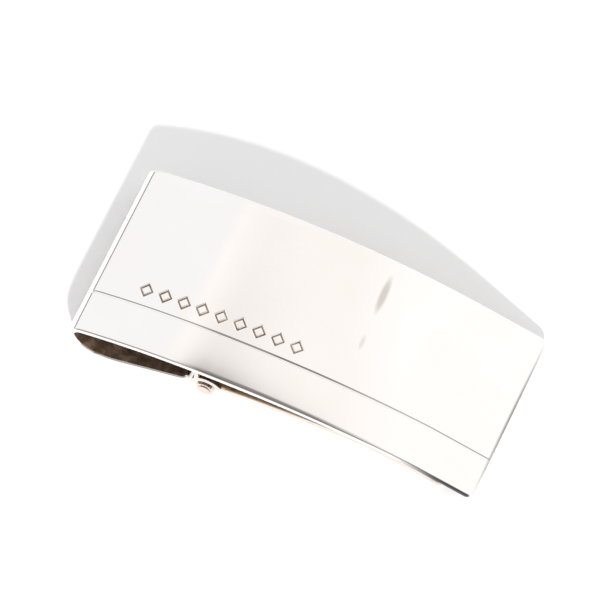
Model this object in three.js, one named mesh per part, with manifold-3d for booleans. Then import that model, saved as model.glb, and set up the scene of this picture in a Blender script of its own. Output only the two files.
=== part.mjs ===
// Hinged snap money clip in polished sterling silver.
//
// One strip of sheet makes the arched front plate, the U-bend and the short back leaf.
// A narrower arm is hinged to the leaf on three tubes and a pin. Two bent strips
// soldered to the arm's tubes are the snap cams: their tails ride on the underside of
// the front plate, which is the spring that shuts the arm and holds it open.
//
// Millimetres, +Z up. The clip lies face up on its belly and the tip of its arm:
// X runs along the clip from the bend to the open end, Y across it, and the origin
// is under the middle of its length and width, on the table.

import * as THREE from 'three';
import { mergeVertices } from 'three/addons/utils/BufferGeometryUtils.js';
import Module from 'manifold-3d';

const wasm = await Module();
wasm.setup();

// ---- Driving dimensions -------------------------------------------------------------

const LENGTH = 50.8; // bend to open end
const WIDTH = 22.7; // front plate, bend and leaf
const HEIGHT = 7.3; // crest of the arch above the table

const SHEET = 0.9; // front plate, bend and leaf
const ARM_SHEET = 0.9;
const CAM_SHEET = 0.7;

const CREST_X = 18.2; // highest point of the arch, from the bend's outer face
const STRAIGHT_END = 7.3; // the arch ends here and the plate runs straight to its open end
const END_LIFT = 0.3; // of the plate's open end above the table
const TWIST = 1.6; // rise of the open end's near corner, where use has sprung the plate
const TWIST_GROWTH = 1.5; // power with which the twist grows along the arch
const BEND_RADIUS = 1.75; // upper part of the U-bend, at the middle of the sheet
const LEAF_SWEEP_RADIUS = 10; // the belly turning up into the leaf
const LEAF_RISE = 16.5; // degrees
const BEND_SPLIT = 100; // degrees turned where the upper bend meets the rounder belly

const PIN_X = 17.2; // hinge axis, from the bend's outer face
const PIN_RADIUS = 0.5;
const PIN_CLEARANCE = 0.1; // between the pin and its tubes
const TUBE_WALL = 0.5;
const SOLDER_GAP = 0.05; // seam between a sheet and the tube it is soldered to
const SWING_GAP = 0.3; // between pieces that turn past each other
const TONGUE_LAP = 0.4; // how far the leaf's tongue reaches past its line of touch
const CENTRE_TUBE = 8.4; // length of the leaf's tube
const HINGE_INSET = 0.3; // tube ends inside the plate's long edges
const PIN_HEAD_RADIUS = 0.8;
const PIN_HEAD = 0.22; // how far a peened end stands out of its tube

const ARM_INSET = 0.8; // arm's long edges inside the plate's
const ARM_GAP = 0.25; // between the arm and the plate when the clip is empty and shut
const ARM_RISE = 13; // degrees, where the arm leaves its tubes
const ARM_HANDLE = 2.8; // stiffness of the arm's long curve at both of its ends
const GRIP_LENGTH = 5.2; // where the arm lies along the plate
const GRIP_FROM_END = 7.6; // from the grip to the plate's open end
const LIP_RADIUS = 12; // flare at the tip that lets the notes in
const LIP_TURN = 5; // degrees

const TAIL_CLEARANCE = 0.2; // tail's path to the plate, which flexes to press on it
const TAIL_LEAN = 15; // degrees the tail stands short of its dead centre
const TAIL_THICK = 0.5;
const FINGER_RADIUS = 2.0; // outside of the finger that arches over the tube
const FINGER_FORWARD = 0.3; // middle of the finger's arc, from the pin
const FINGER_UP = 0.7;
const FINGER_START = 30; // degrees up the finger's arc, at its free end
const CAM_FOOT = 140; // degrees, middle of the foot soldered to the tube
const CAM_FOOT_SPAN = 34; // degrees of the tube that the foot covers

const GROOVE_FROM_EDGE = 5.3; // line engraved along the near edge
const GROOVE_WIDTH = 0.4;
const GROOVE_DEPTH = 0.2;
const MOTIF_START_X = 6.9; // row of lozenges engraved in outline above the line
const MOTIF_COUNT = 9;
const MOTIF_PITCH = 2.35;
const MOTIF_LENGTH = 1.9;
const MOTIF_WIDTH = 2.0;
const MOTIF_CORE = 0.55; // middle of a lozenge left standing, as a share of its size
const MOTIF_DEPTH = 0.15;
const MOTIF_FROM_GROOVE = 2.1;

const CORNER_RADIUS = 0.9; // corners of the plate's open end, seen from above
const ARM_CORNER_RADIUS = 1.2;
const BEND_STEP = 9; // degrees in one facet of a tight bend
const SAG = 0.005; // how far a facet may stray from a wide arc
const ROUND = 32; // facets round a tube

const rad = THREE.MathUtils.degToRad;
const deg = THREE.MathUtils.radToDeg;
const FAR = 50; // beyond the clip on every side, for cutting solids

// ---- Sheet seen from the side -------------------------------------------------------

// A run of sheet metal in the XZ plane: the points down the middle of its thickness.
class SheetRun {
  constructor(x, z, heading) {
    this.points = [new THREE.Vector2(x, z)];
    this.heading = rad(heading);
  }

  get end() {
    return this.points[this.points.length - 1];
  }

  straight(length) {
    const step = new THREE.Vector2(Math.cos(this.heading), Math.sin(this.heading));
    this.points.push(this.end.clone().addScaledVector(step, length));
    return this;
  }

  // Turns by so many degrees, positive to the left of the way it is going.
  arc(radius, degrees) {
    const side = Math.sign(degrees);
    const turn = rad(Math.abs(degrees));
    const step = Math.min(rad(BEND_STEP), Math.sqrt((8 * SAG) / radius));
    const steps = Math.max(2, Math.ceil(turn / step));
    const normal = this.heading + (side * Math.PI) / 2;
    const centre = this.end.clone().add(polar(radius, normal));
    for (let i = 1; i <= steps; i += 1) {
      this.points.push(centre.clone().add(polar(-radius, normal + (side * turn * i) / steps)));
    }
    this.heading += side * turn;
    return this;
  }
}

function polar(radius, angle) {
  return new THREE.Vector2(Math.cos(angle), Math.sin(angle)).multiplyScalar(radius);
}

// Closed outline of a sheet run: the middle line set off to both sides. Offsets are
// measured to the left of the run; round ends are half circles.
function sheetOutline(points, left, right, roundStart, roundEnd) {
  const normals = points.map((point, i) => {
    const before = points[Math.max(i - 1, 0)];
    const after = points[Math.min(i + 1, points.length - 1)];
    const along = after.clone().sub(before).normalize();
    return new THREE.Vector2(-along.y, along.x);
  });
  const side = (offset) => points.map((p, i) => p.clone().addScaledVector(normals[i], offset));
  const outline = side(left);
  if (roundEnd) {
    outline.push(...halfCircle(points.at(-1), normals.at(-1), (left - right) / 2));
  }
  outline.push(...side(right).reverse());
  if (roundStart) {
    outline.push(...halfCircle(points[0], normals[0].clone().negate(), (left - right) / 2));
  }
  return outline;
}

// The points between the two ends of a half circle that goes clockwise.
function halfCircle(centre, from, radius) {
  const steps = 6;
  const start = from.angle();
  const points = [];
  for (let i = 1; i < steps; i += 1) {
    points.push(centre.clone().add(polar(radius, start - (Math.PI * i) / steps)));
  }
  return points;
}

// ---- Solids -------------------------------------------------------------------------

// An outline in XZ, extruded across the clip from y = near to y = far.
function acrossClip(outline, near, far) {
  const shape = new THREE.Shape(outline);
  const geometry = new THREE.ExtrudeGeometry(shape, { depth: far - near, bevelEnabled: false });
  geometry.rotateX(Math.PI / 2);
  geometry.translate(0, far, 0);
  return geometry;
}

// An outline in XY, extruded straight up through everything.
function throughClip(shape) {
  const geometry = new THREE.ExtrudeGeometry(shape, { depth: 2 * FAR, bevelEnabled: false });
  geometry.translate(0, 0, -FAR);
  return geometry;
}

// A rectangle whose two corners at x1 are rounded.
function roundedEnd(x0, y0, x1, y1, radius) {
  const shape = new THREE.Shape();
  shape.absarc(x1 - radius, y1 - radius, radius, 0, Math.PI / 2);
  shape.lineTo(x0, y1);
  shape.lineTo(x0, y0);
  shape.absarc(x1 - radius, y0 + radius, radius, -Math.PI / 2, 0);
  return shape;
}

function box(x0, y0, x1, y1) {
  return throughClip(new THREE.Shape([
    new THREE.Vector2(x0, y0),
    new THREE.Vector2(x1, y0),
    new THREE.Vector2(x1, y1),
    new THREE.Vector2(x0, y1),
  ]));
}

function toManifold(geometry) {
  const bare = geometry.clone();
  bare.deleteAttribute('normal');
  bare.deleteAttribute('uv');
  const merged = mergeVertices(bare, 1e-5);
  return new wasm.Manifold(new wasm.Mesh({
    numProp: 3,
    vertProperties: new Float32Array(merged.attributes.position.array),
    triVerts: new Uint32Array(merged.index.array),
  }));
}

function toGeometry(solid) {
  const mesh = solid.getMesh();
  const geometry = new THREE.BufferGeometry();
  geometry.setAttribute('position', new THREE.BufferAttribute(mesh.vertProperties, 3));
  geometry.setIndex(new THREE.BufferAttribute(mesh.triVerts, 1));
  geometry.computeVertexNormals();
  return geometry;
}

const clip = new THREE.Group();
clip.position.x = -LENGTH / 2;

function addPiece(name, geometry, color, roughness) {
  const material = new THREE.MeshStandardMaterial({ color, roughness, metalness: 1 });
  const mesh = new THREE.Mesh(geometry, material);
  mesh.name = name;
  clip.add(mesh);
}

// ---- Side profile of the body -------------------------------------------------------

// The plate is an arc from the bend to archEndX and straight from there. The arch has
// the radius that brings the open end down to its height above the table: over the run
// of the arc the middle of the sheet falls by run * tan(angle / 2), and then by
// tan(angle) on the straight.
const half = SHEET / 2;
const crestZ = HEIGHT - half;
const archEndX = LENGTH - STRAIGHT_END;
const archRun = archEndX - CREST_X;
const straightRun = STRAIGHT_END - half;
let halfTangent = 0;
for (let i = 0; i < 20; i += 1) {
  const run = archRun + (2 * straightRun) / (1 - halfTangent ** 2);
  halfTangent = (crestZ - half - END_LIFT) / run;
}
const endAngle = 2 * Math.atan(halfTangent);
const archMiddle = archRun / Math.sin(endAngle);

// The bend's outer face is at x = 0, so the arch turns until the upper bend fits there.
const bendStart = Math.asin((CREST_X - half - BEND_RADIUS) / (archMiddle - BEND_RADIUS));

// The belly's radius is what brings the lower half of the U-bend down to the table.
const split = rad(BEND_SPLIT);
const bellyRadius = (HEIGHT - SHEET
  - archMiddle * (1 - Math.cos(bendStart))
  - BEND_RADIUS * (Math.cos(bendStart) - Math.cos(split))) / (1 + Math.cos(split));

const toOpenEnd = new SheetRun(CREST_X, crestZ, 0).arc(archMiddle, -deg(endAngle));
toOpenEnd.straight(straightRun / Math.cos(endAngle));

const toBend = new SheetRun(CREST_X, crestZ, 180).arc(archMiddle, deg(bendStart));
const throughBend = new SheetRun(toBend.end.x, toBend.end.y, 180 + deg(bendStart))
  .arc(BEND_RADIUS, BEND_SPLIT - deg(bendStart))
  .arc(bellyRadius, 180 - BEND_SPLIT)
  .arc(LEAF_SWEEP_RADIUS, LEAF_RISE);

// ---- Hinge --------------------------------------------------------------------------

const tubeBore = PIN_RADIUS + PIN_CLEARANCE;
const tubeRadius = tubeBore + TUBE_WALL;

// The leaf's tongue lies along the top of the centre tube, so the leaf sets the height
// of the pin.
const leafUp = rad(LEAF_RISE);
const leafToPin = tubeRadius + SOLDER_GAP + half;
const touchX = PIN_X - leafToPin * Math.sin(leafUp);
const sweepEnd = throughBend.end;
const touchZ = sweepEnd.y + (touchX - sweepEnd.x) * Math.tan(leafUp);
const pinAxis = new THREE.Vector2(PIN_X, touchZ - leafToPin * Math.cos(leafUp));

const hingeEnd = WIDTH / 2 - HINGE_INSET;
const tubeInner = CENTRE_TUBE / 2 + SWING_GAP; // inner ends of the arm's two tubes
const leafEndX = PIN_X - (FINGER_RADIUS - FINGER_FORWARD) - SWING_GAP;

function arcPoints(centre, radius, from, to, steps) {
  const points = [];
  for (let i = 0; i <= steps; i += 1) {
    points.push(centre.clone().add(polar(radius, from + ((to - from) * i) / steps)));
  }
  return points;
}

// ---- Body: front plate, bend and leaf in one sheet ----------------------------------

const plateLine = [...toOpenEnd.points].reverse().concat(toBend.points.slice(1));
const sheetLine = plateLine.concat(throughBend.points.slice(1));
const leafEnd = sweepEnd.clone().addScaledVector(
  polar(1, leafUp), (leafEndX - sweepEnd.x) / Math.cos(leafUp));
const tongueEnd = new THREE.Vector2(touchX, touchZ).addScaledVector(
  polar(1, leafUp), TONGUE_LAP);

const sheet = acrossClip(
  sheetOutline([...sheetLine, leafEnd], half, -half, true, false), -WIDTH / 2, WIDTH / 2);
const tongue = acrossClip(
  sheetOutline([sweepEnd, tongueEnd], half, -half, false, false),
  -CENTRE_TUBE / 2, CENTRE_TUBE / 2);
const planOutline = roundedEnd(-FAR, -WIDTH / 2, LENGTH, WIDTH / 2, CORNER_RADIUS);

// A skin of the plate's outer face, for engraving to one depth all along the arch.
function outerSkin(depth, near, far) {
  const beyond = plateLine[0].clone().addScaledVector(polar(1, -endAngle), SHEET);
  return toManifold(acrossClip(
    sheetOutline([beyond, ...plateLine.slice(1)], depth - half, -SHEET, false, false),
    near, far));
}

const grooveY = GROOVE_FROM_EDGE - WIDTH / 2;
const motifY = grooveY + MOTIF_FROM_GROOVE;

function lozenge(x, y, length, width) {
  return throughClip(new THREE.Shape([
    new THREE.Vector2(x - length / 2, y),
    new THREE.Vector2(x, y - width / 2),
    new THREE.Vector2(x + length / 2, y),
    new THREE.Vector2(x, y + width / 2),
  ]));
}

let bodySolid = toManifold(sheet)
  .add(toManifold(tongue))
  .intersect(toManifold(throughClip(planOutline)))
  .subtract(outerSkin(GROOVE_DEPTH, grooveY - GROOVE_WIDTH / 2, grooveY + GROOVE_WIDTH / 2));
const motifSkin = outerSkin(MOTIF_DEPTH, motifY - MOTIF_WIDTH, motifY + MOTIF_WIDTH);
for (let i = 0; i < MOTIF_COUNT; i += 1) {
  const x = MOTIF_START_X + i * MOTIF_PITCH;
  const whole = toManifold(lozenge(x, motifY, MOTIF_LENGTH, MOTIF_WIDTH));
  const core = toManifold(
    lozenge(x, motifY, MOTIF_CORE * MOTIF_LENGTH, MOTIF_CORE * MOTIF_WIDTH));
  bodySolid = bodySolid.subtract(motifSkin.intersect(whole.subtract(core)));
}

// The plate is sprung into a slight twist past its crest, its near side standing higher.
// The twist is even over the straight end, so that stays flat.
function springPlate(geometry) {
  const position = geometry.getAttribute('position');
  for (let i = 0; i < position.count; i += 1) {
    const along = THREE.MathUtils.clamp((position.getX(i) - CREST_X) / archRun, 0, 1);
    const nearness = (WIDTH / 2 - position.getY(i)) / WIDTH;
    position.setZ(i, position.getZ(i) + TWIST * along ** TWIST_GROWTH * nearness);
  }
  geometry.computeVertexNormals();
  return geometry;
}
addPiece('clip_body', springPlate(toGeometry(bodySolid)), '#e4e2df', 0.12);

// ---- Arm ----------------------------------------------------------------------------

// The grip runs along the plate, one gap below it, on the arch's own centre.
const gripRadius = archMiddle - half - ARM_GAP - ARM_SHEET / 2;
const gripEndX = LENGTH - GRIP_FROM_END;
const gripFrom = Math.asin((gripEndX - GRIP_LENGTH - CREST_X) / gripRadius);
const gripTo = Math.asin((gripEndX - CREST_X) / gripRadius);
const gripStart = new THREE.Vector2(CREST_X, crestZ - archMiddle)
  .add(polar(gripRadius, Math.PI / 2 - gripFrom));
const armUp = rad(ARM_RISE);
const armRoot = pinAxis.clone().add(polar(tubeRadius, armUp));
const longCurve = new THREE.CubicBezierCurve(
  armRoot,
  armRoot.clone().add(polar(ARM_HANDLE, armUp)),
  gripStart.clone().add(polar(-ARM_HANDLE, -gripFrom)),
  gripStart,
);
const lip = new SheetRun(gripStart.x, gripStart.y, -deg(gripFrom))
  .arc(gripRadius, -deg(gripTo - gripFrom))
  .arc(LIP_RADIUS, -LIP_TURN);
lip.straight((lip.end.y - ARM_SHEET / 2) / Math.sin(-lip.heading)); // its tip is on the table
const armLine = [pinAxis.clone().add(polar(tubeRadius / 2, armUp))]
  .concat(longCurve.getPoints(18), lip.points.slice(1));

const armHalf = ARM_SHEET / 2;
const armEdge = WIDTH / 2 - ARM_INSET;
const armTipX = lip.end.x + armHalf;
const tubeSeat = arcPoints(pinAxis, tubeRadius + SOLDER_GAP, 0, 2 * Math.PI, ROUND).slice(1);
const armSolid = toManifold(acrossClip(
  sheetOutline(armLine, armHalf, -armHalf, false, true), -armEdge, armEdge))
  .intersect(toManifold(throughClip(
    roundedEnd(0, -armEdge, armTipX, armEdge, ARM_CORNER_RADIUS))))
  .subtract(toManifold(acrossClip(tubeSeat, -WIDTH, WIDTH)))
  .subtract(toManifold(box(0, -tubeInner, PIN_X + tubeRadius + SWING_GAP, tubeInner)));
addPiece('clip_arm', toGeometry(armSolid), '#dcd9d4', 0.16);

// ---- Tubes and pin ------------------------------------------------------------------

function tube(near, far) {
  const profile = [
    new THREE.Vector2(tubeBore, near),
    new THREE.Vector2(tubeRadius, near),
    new THREE.Vector2(tubeRadius, far),
    new THREE.Vector2(tubeBore, far),
    new THREE.Vector2(tubeBore, near),
  ];
  const geometry = new THREE.LatheGeometry(profile, ROUND);
  geometry.translate(PIN_X, 0, pinAxis.y);
  return geometry;
}

addPiece('near_tube', tube(-hingeEnd, -tubeInner), '#d8d5d0', 0.2);
addPiece('centre_tube', tube(-CENTRE_TUBE / 2, CENTRE_TUBE / 2), '#d8d5d0', 0.2);
addPiece('far_tube', tube(tubeInner, hingeEnd), '#d8d5d0', 0.2);

// The pin's ends are peened over the outer tubes into low domes.
function pinProfile() {
  const shank = hingeEnd + SOLDER_GAP;
  const dome = (side) => [0, 30, 60, 90].map((a) => new THREE.Vector2(
    PIN_HEAD_RADIUS * Math.sin(rad(a)), side * (shank + PIN_HEAD * Math.cos(rad(a)))));
  return [
    ...dome(-1),
    new THREE.Vector2(PIN_RADIUS, -shank),
    new THREE.Vector2(PIN_RADIUS, shank),
    ...dome(1).reverse(),
  ];
}
const pin = new THREE.LatheGeometry(pinProfile(), ROUND);
pin.translate(PIN_X, 0, pinAxis.y);
addPiece('hinge_pin', pin, '#cfccc6', 0.22);

// ---- Snap cams ----------------------------------------------------------------------

// The tail swings past the front plate; its tip stays one clearance inside that reach.
const plateReach = crestZ - archMiddle - pinAxis.y
  + Math.sqrt((archMiddle - half) ** 2 - (PIN_X - CREST_X) ** 2);
const tailRadius = plateReach - TAIL_CLEARANCE;
const footRadius = tubeRadius + SOLDER_GAP;
const footFrom = rad(CAM_FOOT - CAM_FOOT_SPAN / 2);
const footTo = rad(CAM_FOOT + CAM_FOOT_SPAN / 2);
const footOutline = arcPoints(pinAxis, footRadius + TAIL_THICK, footFrom, footTo, 5)
  .concat(arcPoints(pinAxis, footRadius, footTo, footFrom, 5));
const tailRoot = pinAxis.clone().add(polar(footRadius + TAIL_THICK / 2, rad(CAM_FOOT)));
const tailTip = pinAxis.clone().add(polar(tailRadius - TAIL_THICK / 2, rad(90 + TAIL_LEAN)));
const tailOutline = sheetOutline([tailRoot, tailTip], TAIL_THICK / 2, -TAIL_THICK / 2, false, true);

// The finger springs from the foot and arches over the tube to its free end.
const fingerCentre = pinAxis.clone().add(new THREE.Vector2(FINGER_FORWARD, FINGER_UP));
const fingerTurn = tailRoot.clone().sub(fingerCentre).angle();
const fingerLine = arcPoints(
  fingerCentre, FINGER_RADIUS - CAM_SHEET / 2, fingerTurn, rad(FINGER_START), 14);
const fingerOutline = sheetOutline(fingerLine, CAM_SHEET / 2, -CAM_SHEET / 2, false, true);

function snapCam(near, far) {
  return toGeometry([footOutline, tailOutline, fingerOutline]
    .map((outline) => toManifold(acrossClip(outline, near, far)))
    .reduce((whole, part) => whole.add(part)));
}
addPiece('near_snap_cam', snapCam(-hingeEnd, -tubeInner), '#d8d5d0', 0.2);
addPiece('far_snap_cam', snapCam(tubeInner, hingeEnd), '#d8d5d0', 0.2);

export default clip;
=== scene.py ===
import math

import bmesh
import bpy
from mathutils import Matrix, Vector


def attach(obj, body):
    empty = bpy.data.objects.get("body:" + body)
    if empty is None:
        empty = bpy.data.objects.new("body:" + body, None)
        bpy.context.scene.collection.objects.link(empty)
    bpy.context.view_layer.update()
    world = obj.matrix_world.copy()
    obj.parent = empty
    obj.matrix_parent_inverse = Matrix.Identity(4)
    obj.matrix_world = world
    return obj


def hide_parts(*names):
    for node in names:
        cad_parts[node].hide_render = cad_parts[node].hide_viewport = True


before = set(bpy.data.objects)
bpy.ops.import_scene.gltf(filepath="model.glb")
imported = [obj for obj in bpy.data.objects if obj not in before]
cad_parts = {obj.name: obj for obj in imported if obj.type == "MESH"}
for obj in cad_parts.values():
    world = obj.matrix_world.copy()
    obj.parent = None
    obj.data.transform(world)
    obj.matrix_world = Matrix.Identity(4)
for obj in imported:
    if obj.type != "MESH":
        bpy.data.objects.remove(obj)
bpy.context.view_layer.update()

# ---------------------------------------------------------------------------------------
# Front plate, bend and leaf: one strip of sterling silver sheet, pierced flat, engraved
# with a line and a row of lozenges, its edges broken round, then bent over a former and
# polished. The leaf ends in a narrower tongue that is soldered along the centre tube.
# ---------------------------------------------------------------------------------------

# Sizes are in millimetres, and places along the clip are measured from the bend's outer
# face; meshes are made in metres, from the middle of the clip.
MM = 0.001
clip_length = 50.8
clip_width = 22.7
clip_height = 7.3
bend_face = -clip_length / 2

sheet = 0.9
sheet_half = sheet / 2
sheet_edge = 0.3  # radius of the broken edges
corner = 0.9  # plan radius of the corners

crest_x = 18.2  # the arch is highest here
crest_z = clip_height - sheet_half
straight_run = 6.85  # from the arch to the open end
end_lift = 0.3  # of the open end above the table
upper_bend = 1.75  # radius of the bend under the plate
upper_turn = math.radians(100)
leaf_sweep = 10  # radius of the belly's turn up into the leaf
leaf_rise = math.radians(16.5)

twist = 1.6  # rise of the open end's near corner, where use has sprung the plate
twist_growth = 1.5  # power with which it grows along the arch

# The leaf is shaped by the hinge that it carries.
pin_x = 17.2
tube_radius = 1.1
solder = 0.05  # seam between a sheet or strip and its tube
leaf_end_x = 15.2
centre_half = 4.2  # half the length of the centre tube, and of the tongue's width
tongue_lap = 0.4  # of the tongue past its line of touch


def solve_arch():
    """Radius of the arch's middle line, and the angle at which it meets the straight end."""
    run = clip_length - straight_run - sheet_half - crest_x
    tangent = 0.0
    for _ in range(20):
        reach = run + 2 * straight_run / (1 - tangent**2)
        tangent = (crest_z - sheet_half - end_lift) / reach
    angle = 2 * math.atan(tangent)
    return run / math.sin(angle), angle


arch_radius, end_angle = solve_arch()
bend_start = math.asin((crest_x - sheet_half - upper_bend) / (arch_radius - upper_bend))
belly_radius = (
    clip_height
    - sheet
    - arch_radius * (1 - math.cos(bend_start))
    - upper_bend * (math.cos(bend_start) - math.cos(upper_turn))
) / (1 + math.cos(upper_turn))


class Spine:
    """The middle line of a bent sheet in the XZ plane, sampled finely along its length."""

    def __init__(self, x, z, heading):
        self.samples = [(0.0, x, z, heading)]

    @property
    def length(self):
        return self.samples[-1][0]

    def run(self, length, turn=0.0, step=0.04):
        """Goes on for a length, turning evenly to the left by so many radians."""
        s, x, z, heading = self.samples[-1]
        bend = turn / length
        count = max(1, math.ceil(length / step))
        for i in range(1, count + 1):
            t = length * i / count
            if turn:
                dx = (math.sin(heading + bend * t) - math.sin(heading)) / bend
                dz = (math.cos(heading) - math.cos(heading + bend * t)) / bend
            else:
                dx, dz = t * math.cos(heading), t * math.sin(heading)
            self.samples.append((s + t, x + dx, z + dz, heading + bend * t))
        return self

    def arc(self, radius, turn):
        """Turns by so many radians, to the left if positive."""
        return self.run(radius * abs(turn), turn)

    def place(self, s, right):
        """The point at s along the line and so far to its right."""
        low, high = 0, len(self.samples) - 1
        while high - low > 1:
            middle = (low + high) // 2
            if self.samples[middle][0] <= s:
                low = middle
            else:
                high = middle
        a, b = self.samples[low], self.samples[high]
        share = (s - a[0]) / (b[0] - a[0])
        x, z, heading = (p + share * (q - p) for p, q in zip(a[1:], b[1:]))
        return x + right * math.sin(heading), z - right * math.cos(heading)


plate_end_x = clip_length - sheet_half
arch_end_z = crest_z - arch_radius * (1 - math.cos(end_angle))
plate_end_z = arch_end_z - straight_run * math.tan(end_angle)
body_line = Spine(plate_end_x, plate_end_z, math.pi - end_angle)
body_line.run(straight_run / math.cos(end_angle))
body_line.arc(arch_radius, end_angle + bend_start)
plate_length = body_line.length
body_line.arc(upper_bend, upper_turn - bend_start)
body_line.arc(belly_radius, math.pi - upper_turn)
body_line.arc(leaf_sweep, leaf_rise)
bend_length = body_line.length
_, sweep_x, sweep_z, _ = body_line.samples[-1]

leaf_to_pin = tube_radius + solder + sheet_half
touch_x = pin_x - leaf_to_pin * math.sin(leaf_rise)
touch_z = sweep_z + (touch_x - sweep_x) * math.tan(leaf_rise)
pin_z = touch_z - leaf_to_pin * math.cos(leaf_rise)
leaf_end_s = bend_length + (leaf_end_x - sweep_x) / math.cos(leaf_rise)
tongue_end_s = bend_length + (touch_x - sweep_x) / math.cos(leaf_rise) + tongue_lap
body_line.run(tongue_end_s - bend_length)


def spaced(start, end, step):
    """Even stops from start to end, both included, no further apart than step."""
    count = max(1, math.ceil(abs(end - start) / step - 1e-9))
    return [start + (end - start) * i / count for i in range(count + 1)]


def rounding(radius, steps=9):
    """Distances in from an edge, close together where a quarter round is steepest."""
    return [radius * (1 - math.cos(math.pi / 2 * i / steps)) for i in range(steps + 1)]


def stops(*groups):
    """The groups' stops in order, with those that all but coincide left out."""
    merged = []
    for stop in sorted(s for group in groups for s in group):
        if not merged or stop - merged[-1] > 0.004:
            merged.append(stop)
    return merged


def inside(s, y, panel):
    """How far a point of the blank is inside a panel with rounded corners."""
    s0, s1, y0, y1, radius = panel
    a, b = min(s - s0, s1 - s), min(y - y0, y1 - y)
    if a < radius and b < radius:
        return radius - math.hypot(radius - a, radius - b)
    return min(a, b)


def sprung(x, y):
    """How far the plate's slight twist lifts a point past the crest."""
    along = (x - crest_x) / (clip_length - straight_run - sheet_half - crest_x)
    nearness = 0.5 - y / clip_width
    return twist * min(max(along, 0.0), 1.0) ** twist_growth * nearness


def bent_sheet(
    name,
    spine,
    outward,
    half,
    edge,
    panels,
    corners_at,
    columns,
    rows,
    relief,
    finish_of,
    rise,
):
    """A sheet cut to panels of (from, to, near, far, corner radius), with round edges, bent
    along the spine and meshed on columns along it and rows across. Its outer face is on
    the spine's right where outward is 1, and on its left where it is -1. relief cuts into
    that face, rise lifts a point, and finish_of picks each face's material."""
    outer_y = max(panel[3] for panel in panels)
    radius = panels[0][4]
    margin = 3 * radius  # width of the rows that follow a rounded corner

    def plan(s, y):
        """Long edges draw in at the rounded corners, and the rows near them with them."""
        gap = min(abs(s - c) for c in corners_at)
        if gap >= radius or abs(y) <= outer_y - margin:
            return y
        drawn = radius - math.sqrt(radius**2 - (radius - gap) ** 2)
        share = (abs(y) - outer_y + margin) / margin
        return y - math.copysign(drawn * share, y)

    verts, faces, finishes = [], [], []
    index = {}

    def vertex(i, j, side):
        key = (i, j, side)
        if key not in index:
            s, y = columns[i], plan(columns[i], rows[j])
            depth = max(inside(s, y, panel) for panel in panels)
            depth = min(max(depth, 0.0), edge)
            right = half - edge + math.sqrt(edge**2 - (edge - depth) ** 2)
            if side > 0:
                right -= relief(s, y)
            x, z = spine.place(s, outward * side * right)
            index[key] = len(verts)
            verts.append(((bend_face + x) * MM, y * MM, (z + rise(x, y)) * MM))
        return index[key]

    outline = {}
    for i in range(len(columns) - 1):
        for j in range(len(rows) - 1):
            s = (columns[i] + columns[i + 1]) / 2
            y = (rows[j] + rows[j + 1]) / 2
            if not any(s0 < s < s1 and y0 < y < y1 for s0, s1, y0, y1, _ in panels):
                continue
            ring = [(i, j), (i + 1, j), (i + 1, j + 1), (i, j + 1)]
            depth = max(inside(s, plan(s, y), panel) for panel in panels)
            faces.append([vertex(*c, 1) for c in ring])
            finishes.append(finish_of(s, plan(s, y), depth, 1))
            faces.append([vertex(*c, -1) for c in reversed(ring)])
            finishes.append(finish_of(s, plan(s, y), depth, -1))
            for a, b in zip(ring, ring[1:] + ring[:1]):
                if (b, a) in outline:
                    del outline[(b, a)]
                else:
                    outline[(a, b)] = True
    for a, b in outline:
        faces.append([vertex(*b, 1), vertex(*a, 1), vertex(*a, -1), vertex(*b, -1)])
        finishes.append(0)

    mesh = bpy.data.meshes.new(name)
    mesh.from_pydata(verts, [], faces)
    for polygon, finish in zip(mesh.polygons, finishes):
        polygon.material_index = finish
        polygon.use_smooth = True
    return finished(name, mesh)


def finished(name, mesh):
    """A linked object of the mesh, with its faces pointing out."""
    work = bmesh.new()
    work.from_mesh(mesh)
    bmesh.ops.recalc_face_normals(work, faces=work.faces)
    work.to_mesh(mesh)
    work.free()
    piece = bpy.data.objects.new(name, mesh)
    bpy.context.scene.collection.objects.link(piece)
    return piece


# The engraved line: a narrow cut with sloping walls and a flat floor, near one long edge.
line_from_edge = 5.3
line_y = line_from_edge - clip_width / 2
line_half = 0.2
line_floor = 0.05  # half the width of its floor
line_depth = 0.1
line_end = 2.5  # past the plate's end, round the bend
line_fade = 0.8

# The lozenges: each is engraved in outline, as a V cut round a core left standing.
lozenge_first = 6.9
lozenge_count = 9
lozenge_pitch = 2.35
lozenge_length = 1.9
lozenge_width = 2.0
lozenge_core = 0.55
lozenge_depth = 0.15
lozenge_from_line = 2.1
lozenge_y = line_y + lozenge_from_line
tarnish_from = 0.45 * lozenge_depth  # the cut is tarnished from here down

# The border outside the line was polished down towards the edge.
border_fall = 0.12


def soft_v(distance, half_width, depth):
    """A V cut whose lips and bottom are rounded."""
    t = min(1.0, distance / half_width)
    return depth * (1 - t * t * (3 - 2 * t))


def along_plate(x):
    """How far along the blank a place x of the plate is."""
    return next(s for s, at, _, _ in body_line.samples if at <= x)


lozenges = [along_plate(lozenge_first + k * lozenge_pitch) for k in range(lozenge_count)]


def lozenge_cut(s, y):
    """Depth of the lozenges at a point of the blank."""
    across = abs(y - lozenge_y) / (lozenge_width / 2)
    if across >= 1:
        return 0.0
    along = min(abs(s - centre) for centre in lozenges) / (lozenge_length / 2)
    middle = (1 + lozenge_core) / 2
    return soft_v(abs(across + along - middle), 1 - middle, lozenge_depth)


def plate_relief(s, y):
    """Depth of all that is cut or polished away at a point of the blank."""
    if s > plate_length + line_end:
        return 0.0
    fade = min(1.0, (plate_length + line_end - s) / line_fade)
    wall = max(0.0, abs(y - line_y) - line_floor)
    cut = soft_v(wall, line_half - line_floor, line_depth)
    if y < line_y:
        cut += border_fall * ((line_y - y) / line_from_edge) ** 4
    return fade * cut + lozenge_cut(s, y)


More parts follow.
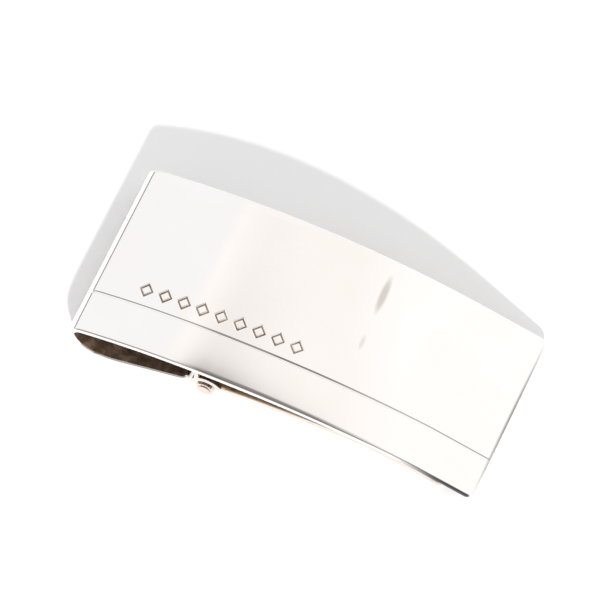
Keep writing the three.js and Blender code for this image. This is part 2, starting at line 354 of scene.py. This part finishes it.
def body_finish(s, y, depth, side):
    """Buffed outside and on the edges, tarnished inside and in the lozenges."""
    if side < 0:
        return 1 if depth > sheet_edge * 0.6 else 0
    if s < plate_length and lozenge_cut(s, y) > tarnish_from:
        return 2
    return 0


plate_overrun = 0.398  # the sheet's squared end, past the end of its middle line
body_line.samples.insert(
    0,
    (
        -plate_overrun,
        plate_end_x + plate_overrun * math.cos(end_angle),
        plate_end_z - plate_overrun * math.sin(end_angle),
        math.pi - end_angle,
    ),
)
panel_lap = 2.0  # panels of one sheet overlap by this much
# The mesh is finest over the engraving and round the bend.
motif_from = lozenges[-1] - 0.6 * lozenge_length
motif_to = lozenges[0] + 0.6 * lozenge_length
body_columns = stops(
    [d - plate_overrun for d in rounding(corner)],
    spaced(corner - plate_overrun, motif_from, 0.5),
    spaced(motif_from, motif_to, 0.06),
    spaced(motif_to, plate_length - 0.6, 0.3),
    spaced(plate_length - 0.6, bend_length, 0.11),
    spaced(bend_length, leaf_end_s - corner, 0.5),
    [leaf_end_s - d for d in rounding(corner)],
    [leaf_end_s],
    spaced(leaf_end_s, tongue_end_s - sheet_edge, 0.3),
    [tongue_end_s - d for d in rounding(sheet_edge)],
)
long_edge = clip_width / 2
body_rows = stops(
    [-long_edge + d for d in rounding(sheet_edge)],
    spaced(-long_edge + sheet_edge, line_y - line_half - 0.1, 0.35),
    spaced(line_y - line_half - 0.1, line_y + line_half + 0.1, 0.035),
    spaced(lozenge_y - lozenge_width * 0.55, lozenge_y + lozenge_width * 0.55, 0.05),
    [side * (centre_half - d) for side in (-1, 1) for d in rounding(sheet_edge, 5)],
    [-centre_half, centre_half],
    spaced(-3.3, 3.3, 0.8),
    spaced(centre_half + 0.3, long_edge - sheet_edge, 0.8),
    [long_edge - d for d in rounding(sheet_edge)],
)
body_panels = [
    (-plate_overrun, leaf_end_s, -long_edge, long_edge, corner),
    (leaf_end_s - panel_lap, tongue_end_s, -centre_half, centre_half, 0.0),
]
plate = bent_sheet(
    "plate_bend_and_leaf",
    body_line,
    1,
    sheet_half,
    sheet_edge,
    body_panels,
    (-plate_overrun, leaf_end_s),
    body_columns,
    body_rows,
    plate_relief,
    body_finish,
    sprung,
)


def linear(hex_colour):
    """An sRGB hex colour as linear RGBA."""
    channels = [int(hex_colour[i : i + 2], 16) / 255 for i in (1, 3, 5)]
    return [
        c / 12.92 if c <= 0.04045 else ((c + 0.055) / 1.055) ** 2.4 for c in channels
    ] + [1.0]


def add_node(tree, kind, settings=None, links=None, values=None, colours=()):
    """Adds a node with its settings, linked inputs and constant inputs; colours are the
    (place, hex colour) stops of a colour ramp."""
    node = tree.nodes.new(kind)
    for key, value in (settings or {}).items():
        setattr(node, key, value)
    for key, socket in (links or {}).items():
        tree.links.new(socket, node.inputs[key])
    for key, value in (values or {}).items():
        node.inputs[key].default_value = value
    for k, (place, colour) in enumerate(colours):
        if k >= len(node.color_ramp.elements):
            node.color_ramp.elements.new(1.0)
        node.color_ramp.elements[k].position = place
        node.color_ramp.elements[k].color = linear(colour)
    return node


def new_material(name, metallic=1.0, roughness=0.5):
    """A material with its node tree, its surface, and the place on the piece as a socket."""
    material = bpy.data.materials.new(name)
    material.use_nodes = True
    tree = material.node_tree
    tree.nodes.clear()
    surface = add_node(
        tree,
        "ShaderNodeBsdfPrincipled",
        values={"Metallic": metallic, "Roughness": roughness},
    )
    add_node(
        tree, "ShaderNodeOutputMaterial", links={"Surface": surface.outputs["BSDF"]}
    )
    place = add_node(tree, "ShaderNodeTexCoord").outputs["Object"]
    return material, tree, surface, place


def polished_silver(name, bright, warm, gloss, dull, shade_and_dark_patches=()):
    """Sterling silver from the buffing wheel: a near mirror, a little softened by handling,
    with a faint warm cast and hairline scratches. The hairlines are really 0.01 mm wide
    and are drawn 0.12 mm wide, so that they show. A dark patch is colour painted over the
    metal that fades out at its rim: its middle, half sizes, turn, strength and colour. On
    the plate the patches are mostly painted reflection and painted shade."""
    material, tree, surface, place = new_material(name)
    cloud = add_node(
        tree,
        "ShaderNodeTexNoise",
        links={"Vector": place},
        values={"Scale": 1 / (9 * MM), "Detail": 3.0, "Roughness": 0.5},
    ).outputs["Fac"]
    colour = add_node(
        tree,
        "ShaderNodeValToRGB",
        links={"Fac": cloud},
        colours=((0.35, bright), (0.65, warm)),
    ).outputs["Color"]
    # Each patch paints a darker colour over the metal, fading out at its rim; on the plate
    # these are painted reflection and painted shade.
    for x, y, half_width, half_length, turn, strength, patch_colour in shade_and_dark_patches:
        laid = add_node(
            tree,
            "ShaderNodeMapping",
            {"vector_type": "TEXTURE"},
            {"Vector": place},
            {
                "Location": ((bend_face + x) * MM, y * MM, 0.0),
                "Rotation": (0.0, 0.0, math.radians(turn)),
                "Scale": (half_width * MM, half_length * MM, 1.0),
            },
        ).outputs["Vector"]
        apart = add_node(
            tree, "ShaderNodeVectorMath", {"operation": "LENGTH"}, {0: laid}
        ).outputs["Value"]
        patch_mask = add_node(
            tree,
            "ShaderNodeMapRange",
            {"interpolation_type": "SMOOTHSTEP"},
            {"Value": apart},
            {"From Min": 1.2, "From Max": 0.4, "To Min": 0.0, "To Max": strength},
        ).outputs["Result"]
        patch_mix = add_node(
            tree,
            "ShaderNodeMix",
            {"data_type": "RGBA"},
            {"Factor": patch_mask, 6: colour},
            {7: linear(patch_colour)},
        )
        colour = patch_mix.outputs[2]
    tree.links.new(colour, surface.inputs["Base Color"])
    # Three sets of hairlines, each with its own turn and stretched along its own way.
    hairs = None
    for turn, stretch in ((0.35, 0.04), (-0.6, 0.05), (1.4, 0.06)):
        laid = add_node(
            tree,
            "ShaderNodeMapping",
            links={"Vector": place},
            values={"Rotation": (0.0, 0.0, turn), "Scale": (stretch, 1.0, 0.3)},
        ).outputs["Vector"]
        hair = add_node(
            tree,
            "ShaderNodeTexNoise",
            links={"Vector": laid},
            values={"Scale": 1 / (0.24 * MM), "Detail": 2.0},
        ).outputs["Fac"]
        sharp = add_node(
            tree,
            "ShaderNodeMapRange",
            links={"Value": hair},
            values={"From Min": 0.66, "From Max": 0.74},
        ).outputs["Result"]
        if hairs is None:
            hairs = sharp
            continue
        hairs = add_node(
            tree, "ShaderNodeMath", {"operation": "MAXIMUM"}, {0: hairs, 1: sharp}
        ).outputs["Value"]
    handled = add_node(
        tree,
        "ShaderNodeMapRange",
        links={"Value": cloud},
        values={"From Min": 0.3, "From Max": 0.7, "To Min": gloss, "To Max": dull},
    ).outputs["Result"]
    worn = add_node(
        tree,
        "ShaderNodeMath",
        {"operation": "MULTIPLY_ADD"},
        {0: hairs, 2: handled},
        {1: 0.06},
    )
    tree.links.new(worn.outputs["Value"], surface.inputs["Roughness"])
    bump = add_node(
        tree,
        "ShaderNodeBump",
        {"invert": True},
        {"Height": hairs},
        {"Strength": 0.05, "Distance": 0.02 * MM},
    )
    tree.links.new(bump.outputs["Normal"], surface.inputs["Normal"])
    return material


def tarnished_silver(name, dark, mid, light, rough, wiped=None):
    """Silver that the buff doesn't reach: brown silver sulphide in soft blotches a
    millimetre or two across, wiped thinner in places, over a matt surface. The sulphide
    scatters light where bare metal would only mirror it. Between the two places of wiped,
    along the clip, it gives way to bare silver."""
    material, tree, surface, place = new_material(name, 0.6)
    blotch = add_node(
        tree,
        "ShaderNodeTexNoise",
        links={"Vector": place},
        values={"Scale": 1 / (1.6 * MM), "Detail": 5.0, "Roughness": 0.65, "Distortion": 0.4},
    ).outputs["Fac"]
    colour = add_node(
        tree,
        "ShaderNodeValToRGB",
        links={"Fac": blotch},
        colours=((0.3, dark), (0.52, mid), (0.72, light)),
    ).outputs["Color"]
    if wiped:
        parts = add_node(tree, "ShaderNodeSeparateXYZ", links={"Vector": place}).outputs
        bare = add_node(
            tree,
            "ShaderNodeMapRange",
            {"interpolation_type": "SMOOTHSTEP"},
            {"Value": parts["X"]},
            {
                "From Min": (bend_face + wiped[0]) * MM,
                "From Max": (bend_face + wiped[1]) * MM,
            },
        ).outputs["Result"]
        colour = add_node(
            tree,
            "ShaderNodeMix",
            {"data_type": "RGBA"},
            {"Factor": bare, 6: colour},
            {7: linear("#ECE3D9")},
        ).outputs[2]
        metal = add_node(
            tree,
            "ShaderNodeMapRange",
            links={"Value": bare},
            values={"To Min": 0.6, "To Max": 1.0},
        ).outputs["Result"]
        tree.links.new(metal, surface.inputs["Metallic"])
    tree.links.new(colour, surface.inputs["Base Color"])
    matt = add_node(
        tree,
        "ShaderNodeMapRange",
        links={"Value": blotch},
        values={"From Min": 0.3, "From Max": 0.7, "To Min": rough, "To Max": rough * 0.6},
    ).outputs["Result"]
    tree.links.new(matt, surface.inputs["Roughness"])
    grain = add_node(
        tree,
        "ShaderNodeTexNoise",
        links={"Vector": place},
        values={"Scale": 1 / (0.25 * MM)},
    ).outputs["Fac"]
    bump = add_node(
        tree,
        "ShaderNodeBump",
        links={"Height": grain},
        values={"Strength": 0.25, "Distance": 0.03 * MM},
    )
    tree.links.new(bump.outputs["Normal"], surface.inputs["Normal"])
    return material


# The two streaks are a painted reflection: a dark thing mirrored in the arched plate and
# drawn out across it. The next patch is painted shade that darkens the near edge
# towards the open end, and the last patch darkens the end itself.
plate_silver = polished_silver(
    "sterling_silver_buffed",
    "#F8F6F4",
    "#F7F4F1",
    0.05,
    0.09,
    (
        # painted reflection: two dark streaks across the plate
        (32, 6.6, 0.5, 2.7, 2, 0.42, "#8F7B5E"),
        (32.2, 0, 0.3, 1.1, 2, 0.2, "#8F7B5E"),
        # painted shade: darkens the near edge towards the open end
        (50, -clip_width / 2, 9, 0.25, 0, 0.95, "#34303A"),
        (51, 0, 0.5, 14, 0, 0.85, "#54463B"),
    ),
)
inside_silver = tarnished_silver(
    "sterling_silver_tarnished_inside", "#44372E", "#6C5949", "#A68E77", 0.42
)
recess_silver = tarnished_silver(
    "sterling_silver_tarnish_in_engraving", "#6A5848", "#947E6B", "#BAA592", 0.3
)
for material in (plate_silver, inside_silver, recess_silver):
    plate.data.materials.append(material)
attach(plate, "clip")
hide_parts("clip_body")

# ---------------------------------------------------------------------------------------
# Hinge tubes: three lengths of drawn silver tube on one axis, with their cut ends filed
# square and broken. The centre one is soldered to the leaf, the outer two to the arm.
# ---------------------------------------------------------------------------------------

tube_bore = 0.6
tube_edge = 0.08
hinge_inset = 0.3
hinge_end = long_edge - hinge_inset
outer_tube_start = 4.5


def quarter(across, along, radius, from_turn, to_turn, steps=4):
    """Points of a rounded edge as (distance from the axis, place along it)."""
    return [
        (
            across + radius * math.cos(from_turn + (to_turn - from_turn) * i / steps),
            along + radius * math.sin(from_turn + (to_turn - from_turn) * i / steps),
        )
        for i in range(steps + 1)
    ]


def turned(name, profile, closed, segments=72):
    """A profile of (distance from the axis, place along it), turned about the hinge axis."""
    work = bmesh.new()
    rings = []
    for across, along in profile:
        if across < 1e-6:
            rings.append([work.verts.new((0, along, 0))])
            continue
        rings.append(
            [
                work.verts.new(
                    (
                        across * math.cos(2 * math.pi * k / segments),
                        along,
                        across * math.sin(2 * math.pi * k / segments),
                    )
                )
                for k in range(segments)
            ]
        )
    pairs = list(zip(rings, rings[1:]))
    if closed:
        pairs.append((rings[-1], rings[0]))
    for first, second in pairs:
        for k in range(segments):
            n = (k + 1) % segments
            corners = [first[k % len(first)], first[n % len(first)]]
            corners += [second[n % len(second)], second[k % len(second)]]
            work.faces.new(list(dict.fromkeys(corners)))
    place = Matrix.Translation(((bend_face + pin_x) * MM, 0, pin_z * MM)) @ Matrix.Scale(MM, 4)
    bmesh.ops.transform(work, matrix=place, verts=work.verts)
    for face in work.faces:
        face.smooth = True
    mesh = bpy.data.meshes.new(name)
    work.to_mesh(mesh)
    work.free()
    return finished(name, mesh)


def hinge_tube(name, start, end):
    """A tube from start to end along the hinge, with the edges of both ends broken."""
    outer, inner = tube_radius - tube_edge, tube_bore + tube_edge
    right = math.pi / 2
    profile = quarter(outer, end - tube_edge, tube_edge, 0, right)
    profile += quarter(inner, end - tube_edge, tube_edge, right, 2 * right)
    profile += quarter(inner, start + tube_edge, tube_edge, 2 * right, 3 * right)
    profile += quarter(outer, start + tube_edge, tube_edge, 3 * right, 4 * right)
    return turned(name, profile, True)


# Drawn and filed parts in the fold get only a quick buff: a warm, soft shine.
hinge_silver = polished_silver("sterling_silver_drawn_tube", "#F3EBE4", "#E8DDD4", 0.16, 0.26)
for name, start, end, body in (
    ("near_tube", -hinge_end, -outer_tube_start, "arm"),
    ("centre_tube", -centre_half, centre_half, "clip"),
    ("far_tube", outer_tube_start, hinge_end, "arm"),
):
    tube = hinge_tube(name + "_drawn", start, end)
    tube.data.materials.append(hinge_silver)
    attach(tube, body)
    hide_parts(name)

# ---------------------------------------------------------------------------------------
# Hinge pin: hard silver wire through the three tubes, with both ends peened over the
# outer tubes into low domes.
# ---------------------------------------------------------------------------------------

pin_radius = 0.5
head_radius = 0.8
head_height = 0.22
shank_end = hinge_end + solder


def pin_head(side):
    """The dome's profile, from its middle out."""
    steps = 8
    return [
        (
            head_radius * math.sin(math.pi / 2 * i / steps),
            side * (shank_end + head_height * math.cos(math.pi / 2 * i / steps)),
        )
        for i in range(steps + 1)
    ]


pin_profile = pin_head(-1) + [(pin_radius, -shank_end), (pin_radius, shank_end)]
pin_profile += list(reversed(pin_head(1)))
pin = turned("hinge_pin_peened", pin_profile, False)
# Hammered ends are duller still, and a little pink.
pin_silver = polished_silver("silver_wire_peened", "#EFE2D8", "#E2D2C6", 0.2, 0.32)
pin.data.materials.append(pin_silver)
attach(pin, "arm")
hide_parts("hinge_pin")

# ---------------------------------------------------------------------------------------
# Arm: a narrower strip of the same sheet, curved to follow the inside of the plate, with
# a notch round the centre tube and a flared tip. Its root is soldered to the outer tubes.
# ---------------------------------------------------------------------------------------

arm_half = 0.45
arm_round = 0.4  # its edges are rounded more than the plate's
arm_gap = 0.25  # to the plate along the grip
arm_inset = 0.8
arm_edge = long_edge - arm_inset
arm_corner = 1.2
arm_rise = math.radians(13)
arm_handle = 2.8  # length of the handles of its long curve
grip_length = 5.2
grip_from_end = 7.6
grip_end_x = clip_length - grip_from_end
lip_radius = 12
lip_turn = math.radians(5)
swing_gap = 0.3  # between pieces that turn past each other
tip_overrun = 0.41  # the sheet's round tip, past the end of its middle line


def polar(x, z, radius, angle):
    """The point at a distance and an angle from x, z."""
    return x + radius * math.cos(angle), z + radius * math.sin(angle)


grip_radius = arch_radius - sheet_half - arm_gap - arm_half
grip_from = math.asin((grip_end_x - grip_length - crest_x) / grip_radius)
grip_to = math.asin((grip_end_x - crest_x) / grip_radius)
grip_start = polar(crest_x, crest_z - arch_radius, grip_radius, math.pi / 2 - grip_from)
arm_root = polar(pin_x, pin_z, tube_radius, arm_rise)
first_handle = polar(*arm_root, arm_handle, arm_rise)
second_handle = polar(*grip_start, -arm_handle, -grip_from)

arm_line = Spine(*arm_root, arm_rise)
curve_steps = 400
travelled = 0.0
before = arm_root
for i in range(1, curve_steps + 1):
    t = i / curve_steps
    weights = ((1 - t) ** 3, 3 * t * (1 - t) ** 2, 3 * t * t * (1 - t), t**3)
    handles = (arm_root, first_handle, second_handle, grip_start)
    x, z = (sum(w * p[axis] for w, p in zip(weights, handles)) for axis in (0, 1))
    pulls = (3 * (1 - t) ** 2, 6 * t * (1 - t), 3 * t * t)
    legs = [(q[0] - p[0], q[1] - p[1]) for p, q in zip(handles, handles[1:])]
    dx, dz = (sum(w * leg[axis] for w, leg in zip(pulls, legs)) for axis in (0, 1))
    travelled += math.hypot(x - before[0], z - before[1])
    arm_line.samples.append((travelled, x, z, math.atan2(dz, dx)))
    before = (x, z)
curve_length = arm_line.length
arm_line.arc(grip_radius, -(grip_to - grip_from))
arm_line.arc(lip_radius, -lip_turn)
_, _, lip_z, lip_heading = arm_line.samples[-1]
arm_line.run((lip_z - arm_half) / math.sin(-lip_heading) + tip_overrun)

arm_start = solder
notch_end = (pin_x + tube_radius + swing_gap - arm_root[0]) / math.cos(arm_rise)
arm_tip = arm_line.length
notch_half = centre_half + swing_gap
strap_reach = notch_end + panel_lap
arm_panels = [
    (notch_end, arm_tip, -arm_edge, arm_edge, arm_corner),
    (arm_start, strap_reach, -arm_edge, -notch_half, 0.0),
    (arm_start, strap_reach, notch_half, arm_edge, 0.0),
]
arm_columns = stops(
    [arm_start + d for d in rounding(arm_round, 5)],
    [notch_end + d for d in rounding(arm_round, 5)],
    spaced(notch_end + arm_round, arm_tip - arm_corner, 0.3),
    [arm_tip - d for d in rounding(arm_corner, 12)],
)
arm_rows = stops(
    [side * (arm_edge - d) for side in (-1, 1) for d in rounding(arm_round)],
    [side * (notch_half + d) for side in (-1, 1) for d in rounding(arm_round, 5)],
    spaced(-notch_half, notch_half, 0.9),
    [side * y for side in (-1, 1) for y in spaced(notch_half, arm_edge - arm_round, 0.7)],
)


def arm_finish(s, y, depth, side):
    """Yellowed on the face under the plate, up to the grip."""
    return 1 if side > 0 and depth > arm_round * 0.5 and s < curve_length else 0


arm = bent_sheet(
    "hinged_arm",
    arm_line,
    -1,
    arm_half,
    arm_round,
    arm_panels,
    (arm_tip,),
    arm_columns,
    arm_rows,
    lambda s, y: 0.0,
    arm_finish,
    lambda x, y: 0.0,
)
# Fingers keep the outside bright but finely scuffed; the face under the plate has gone
# yellow, and the notes wipe it bright towards the grip.
arm_silver = polished_silver("sterling_silver_handled", "#F1EAE2", "#E6DACD", 0.12, 0.2)
arm_tarnish = tarnished_silver(
    "sterling_silver_yellowed_under_plate",
    "#6E563B",
    "#937653",
    "#B6976C",
    0.26,
    (26, 37.5),
)
arm.data.materials.append(arm_silver)
arm.data.materials.append(arm_tarnish)
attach(arm, "arm")
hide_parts("clip_arm")

# ---------------------------------------------------------------------------------------
# Snap cams: a bent silver strip soldered on top of each outer tube. Its tail rides on the
# underside of the plate and is what holds the arm shut; its finger arches over the tube.
# ---------------------------------------------------------------------------------------

foot_inner = tube_radius + solder
foot_from, foot_to = math.radians(123), math.radians(157)
tail_half = 0.25
tail_lean = math.radians(105)
tail_clearance = 0.2  # the real tail presses on the plate
finger_at = (0.3, 0.7)  # middle of the finger's arc, from the pin
finger_outer = 2.0
finger_inner = 1.3
finger_free_end = math.radians(30)
cam_edge = 0.07

plate_reach = (
    crest_z
    - arch_radius
    - pin_z
    + math.sqrt((arch_radius - sheet_half) ** 2 - (pin_x - crest_x) ** 2)
)


def meet(point, way, radius):
    """Where a line from a point meets a circle about the finger's centre, going forward."""
    px, pz = point[0] - finger_at[0], point[1] - finger_at[1]
    along = px * way[0] + pz * way[1]
    reach = -along + math.sqrt(along**2 - px**2 - pz**2 + radius**2)
    return point[0] + reach * way[0], point[1] + reach * way[1]


def sweep(centre, radius, from_turn, to_turn, step=math.radians(6)):
    """Points of an arc, both ends included."""
    count = max(2, math.ceil(abs(to_turn - from_turn) / step))
    return [
        polar(*centre, radius, from_turn + (to_turn - from_turn) * i / count)
        for i in range(count + 1)
    ]


def turn_of(point, centre):
    """The angle at which a point lies from a centre."""
    return math.atan2(point[1] - centre[1], point[0] - centre[0])


def cam_outline():
    """The cam from the side, in millimetres from the pin."""
    root = polar(0, 0, foot_inner + tail_half, (foot_from + foot_to) / 2)
    tip = polar(0, 0, plate_reach - tail_clearance - tail_half, tail_lean)
    length = math.hypot(tip[0] - root[0], tip[1] - root[1])
    way = ((tip[0] - root[0]) / length, (tip[1] - root[1]) / length)
    across = (way[1] * tail_half, -way[0] * tail_half)
    right_root = (root[0] + across[0], root[1] + across[1])
    left_root = (root[0] - across[0], root[1] - across[1])
    tail_turn = turn_of(way, (0, 0))
    foot_right, foot_left = polar(0, 0, 1, foot_from), polar(0, 0, 1, foot_to)
    inner_start = meet((0, 0), foot_right, finger_inner)
    outer_right = meet(right_root, way, finger_outer)
    outer_left = meet(left_root, way, finger_outer)
    outer_foot = meet((0, 0), foot_left, finger_outer)
    finger_half = (finger_outer - finger_inner) / 2
    free_end = polar(*finger_at, finger_outer - finger_half, finger_free_end)
    points = sweep((0, 0), foot_inner, foot_to, foot_from)
    points += sweep(
        finger_at, finger_inner, turn_of(inner_start, finger_at), finger_free_end
    )
    points += sweep(
        free_end, finger_half, finger_free_end - math.pi, finger_free_end, math.radians(15)
    )[1:]
    points += sweep(
        finger_at, finger_outer, finger_free_end, turn_of(outer_right, finger_at)
    )[1:]
    points += sweep(
        tip, tail_half, tail_turn - math.pi / 2, tail_turn + math.pi / 2, math.radians(15)
    )
    points += sweep(
        finger_at,
        finger_outer,
        turn_of(outer_left, finger_at) % (2 * math.pi),
        turn_of(outer_foot, finger_at) % (2 * math.pi),
    )
    return points


def snap_cam(name, near, far):
    """The outline as a prism across the clip, with its edges broken by a bevel."""
    work = bmesh.new()
    outline = [
        ((bend_face + pin_x + x) * MM, (pin_z + z) * MM) for x, z in cam_outline()
    ]
    ends = [
        [work.verts.new((x, y * MM, z)) for x, z in outline] for y in (near, far)
    ]
    work.faces.new(ends[0])
    work.faces.new(list(reversed(ends[1])))
    for k in range(len(outline)):
        n = (k + 1) % len(outline)
        work.faces.new([ends[0][k], ends[0][n], ends[1][n], ends[1][k]])
    for face in work.faces:
        face.smooth = True
    mesh = bpy.data.meshes.new(name)
    work.to_mesh(mesh)
    work.free()
    cam = finished(name, mesh)
    bevel = cam.modifiers.new("broken_edges", "BEVEL")
    bevel.width = cam_edge * MM
    bevel.segments = 3
    bevel.limit_method = "ANGLE"
    bevel.angle_limit = math.radians(40)
    cam.modifiers.new("even_shading", "WEIGHTED_NORMAL")
    return cam


for name, near, far in (
    ("near_snap_cam", -hinge_end, -outer_tube_start),
    ("far_snap_cam", outer_tube_start, hinge_end),
):
    cam = snap_cam(name + "_bent", near, far)
    cam.data.materials.append(hinge_silver)
    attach(cam, "arm")
    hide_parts(name)

# ---------------------------------------------------------------------------------------
# Table: a sheet of white acrylic, sanded matt so that it mirrors nothing. The clip lies
# loose on it, and its edges are outside the view.
# ---------------------------------------------------------------------------------------

table_half = 1.5
work = bmesh.new()
bmesh.ops.create_grid(work, x_segments=8, y_segments=8, size=table_half)
table_mesh = bpy.data.meshes.new("white_table")
work.to_mesh(table_mesh)
work.free()
table = bpy.data.objects.new("white_table", table_mesh)
bpy.context.scene.collection.objects.link(table)
table_white, tree, surface, place = new_material("white_acrylic_matt", 0.0, 0.6)
tone = add_node(
    tree, "ShaderNodeTexNoise", links={"Vector": place}, values={"Scale": 20.0}
).outputs["Fac"]
tint = add_node(
    tree,
    "ShaderNodeValToRGB",
    links={"Fac": tone},
    colours=((0.3, "#EFEFEF"), (0.7, "#F1F1F1")),
).outputs["Color"]
tree.links.new(tint, surface.inputs["Base Color"])
table_mesh.materials.append(table_white)

# ---------------------------------------------------------------------------------------
# Studio: a white cloth tent, open in front, with two slits in its roof and a grey rail of
# its frame low on the left. One small lamp from the front right throws the shadow to the
# far side, and two broad ones fill it. None of the lamps shows in the metal.
# ---------------------------------------------------------------------------------------

scene = bpy.context.scene
scene.view_settings.view_transform = "Standard"
tent = bpy.data.worlds.new("white_tent")
scene.world = tent
tent.use_nodes = True
tree = tent.node_tree
tree.nodes.clear()
# Along the arched plate the reflection turns from one side to the other, so the tent is
# laid out by how far aside a direction points for its height.
way = add_node(tree, "ShaderNodeTexCoord").outputs["Generated"]
parts = add_node(tree, "ShaderNodeSeparateXYZ", links={"Vector": way}).outputs
height = add_node(
    tree, "ShaderNodeMath", {"operation": "MAXIMUM"}, {0: parts["Z"]}, {1: 0.05}
).outputs["Value"]
aside = add_node(
    tree, "ShaderNodeMath", {"operation": "DIVIDE"}, {0: parts["X"], 1: height}
).outputs["Value"]
across = add_node(
    tree,
    "ShaderNodeMapRange",
    links={"Value": aside},
    values={"From Min": -1.5, "From Max": 1.5},
).outputs["Result"]
# The cloth is cool on the left, has a bright seam, is warm overhead and white on the right.
cloth = add_node(
    tree,
    "ShaderNodeValToRGB",
    links={"Fac": across},
    colours=(
        (0.378, "#F6F6F8"),
        (0.383, "#FDFAF8"),
        (0.388, "#FDFAF8"),
        (0.395, "#FAF7F5"),
        (0.513, "#FBF8F6"),
        (0.567, "#FFFFFF"),
    ),
).outputs["Color"]
# Each slit is a dark band on this scale, and fades out towards the back.
opening = add_node(
    tree,
    "ShaderNodeValToRGB",
    links={"Fac": across},
    colours=(
        (0.395, "#000000"),
        (0.419, "#FFFFFF"),
        (0.427, "#FFFFFF"),
        (0.453, "#BCBCBC"),
        (0.483, "#868686"),
        (0.533, "#000000"),
    ),
).outputs["Color"]
low_down = add_node(
    tree,
    "ShaderNodeMapRange",
    links={"Value": parts["Y"]},
    values={"From Min": 0.43, "From Max": 0.11},
).outputs["Result"]
slit = add_node(
    tree, "ShaderNodeMath", {"operation": "MULTIPLY"}, {0: opening, 1: low_down}
).outputs["Value"]
lower_opening = add_node(
    tree,
    "ShaderNodeValToRGB",
    links={"Fac": across},
    colours=(
        (0.405, "#000000"),
        (0.43, "#FFFFFF"),
        (0.50, "#FFFFFF"),
        (0.58, "#000000"),
    ),
).outputs["Color"]
lowest = add_node(
    tree,
    "ShaderNodeMapRange",
    links={"Value": parts["Y"]},
    values={"From Min": 0.30, "From Max": 0.22, "To Min": 0.0, "To Max": 0.85},
).outputs["Result"]
lower_slit = add_node(
    tree, "ShaderNodeMath", {"operation": "MULTIPLY"}, {0: lower_opening, 1: lowest}
).outputs["Value"]
slits = add_node(
    tree, "ShaderNodeMath", {"operation": "MAXIMUM"}, {0: slit, 1: lower_slit}
).outputs["Value"]
# The opening in front is darkest straight ahead, and ends before the roof.
behind = add_node(
    tree, "ShaderNodeMath", {"operation": "ADD"}, {0: parts["Y"]}, {1: 1.0}
).outputs["Value"]
front = add_node(
    tree,
    "ShaderNodeValToRGB",
    links={"Fac": behind},
    colours=(
        (0.0, "#606060"),
        (0.12, "#A8A8A8"),
        (0.2, "#E7E7E7"),
        (0.4, "#E7E7E7"),
        (0.8, "#000000"),
    ),
).outputs["Color"]
frame_rail = add_node(
    tree,
    "ShaderNodeMapRange",
    links={"Value": aside},
    values={"From Min": -4.0, "From Max": -8.0, "To Min": 0.0, "To Max": 0.8},
).outputs["Result"]
openings = add_node(
    tree, "ShaderNodeMath", {"operation": "MAXIMUM"}, {0: slits, 1: front}
).outputs["Value"]
shade = add_node(
    tree, "ShaderNodeMath", {"operation": "MAXIMUM"}, {0: openings, 1: frame_rail}
).outputs["Value"]
# Where the cloth is missing, the grey of the room shows.
dimmed = add_node(
    tree,
    "ShaderNodeMix",
    {"data_type": "RGBA"},
    {"Factor": shade, 6: cloth},
    {7: linear("#5A5652")},
).outputs[2]
background = add_node(
    tree,
    "ShaderNodeBackground",
    links={"Color": dimmed},
    values={"Strength": 1.09},
)
add_node(
    tree, "ShaderNodeOutputWorld", links={"Surface": background.outputs["Background"]}
)


def lamp(name, power, size, azimuth, elevation, distance):
    """A square soft lamp aimed at the clip; azimuth 0 is in front of it, 90 to its right."""
    data = bpy.data.lights.new(name, "AREA")
    data.energy = power
    data.size = size
    a, e = math.radians(azimuth), math.radians(elevation)
    toward = Vector(
        (math.sin(a) * math.cos(e), -math.cos(a) * math.cos(e), math.sin(e))
    )
    light = bpy.data.objects.new(name, data)
    light.location = toward * distance
    light.rotation_euler = toward.to_track_quat("Z", "Y").to_euler()
    scene.collection.objects.link(light)
    return light


key = lamp("front_key", 14.0, 0.06, 26, 31, 1.0)
fill = lamp("overhead_fill", 0.8, 1.0, 0, 88, 1.2)
left = lamp("left_fill", 1.9, 1.0, -90, 35, 1.2)
for light in (key, fill, left):
    light.visible_camera = False
    light.visible_glossy = False

# ---------------------------------------------------------------------------------------
# Camera: a long lens from in front and above, a little to the right, aimed past the
# clip's middle and far enough away that the long edges hardly converge.
# ---------------------------------------------------------------------------------------

camera_distance = 0.6
aim_height = 3
aim_shift = (-0.92, 3.93)  # rightwards and upwards in the view
azimuth, elevation, roll = (math.radians(a) for a in (23.79, 63.38, 0.06))
back = Vector(
    (
        math.sin(azimuth) * math.cos(elevation),
        -math.cos(azimuth) * math.cos(elevation),
        math.sin(elevation),
    )
)
level_right = Vector((math.cos(azimuth), math.sin(azimuth), 0))
level_up = back.cross(level_right)
right = math.cos(roll) * level_right + math.sin(roll) * level_up
up = math.cos(roll) * level_up - math.sin(roll) * level_right
lens = bpy.data.cameras.new("long_lens")
lens.sensor_width = 36
lens.lens = 311.6
lens.clip_start = 0.01
lens.clip_end = 10
view = bpy.data.objects.new("view", lens)
aim = Vector((0, 0, aim_height * MM)) + aim_shift[0] * MM * right + aim_shift[1] * MM * up
view.matrix_world = Matrix.Translation(aim + camera_distance * back) @ Matrix(
    (right, up, back)
).transposed().to_4x4()
scene.collection.objects.link(view)
scene.camera = view
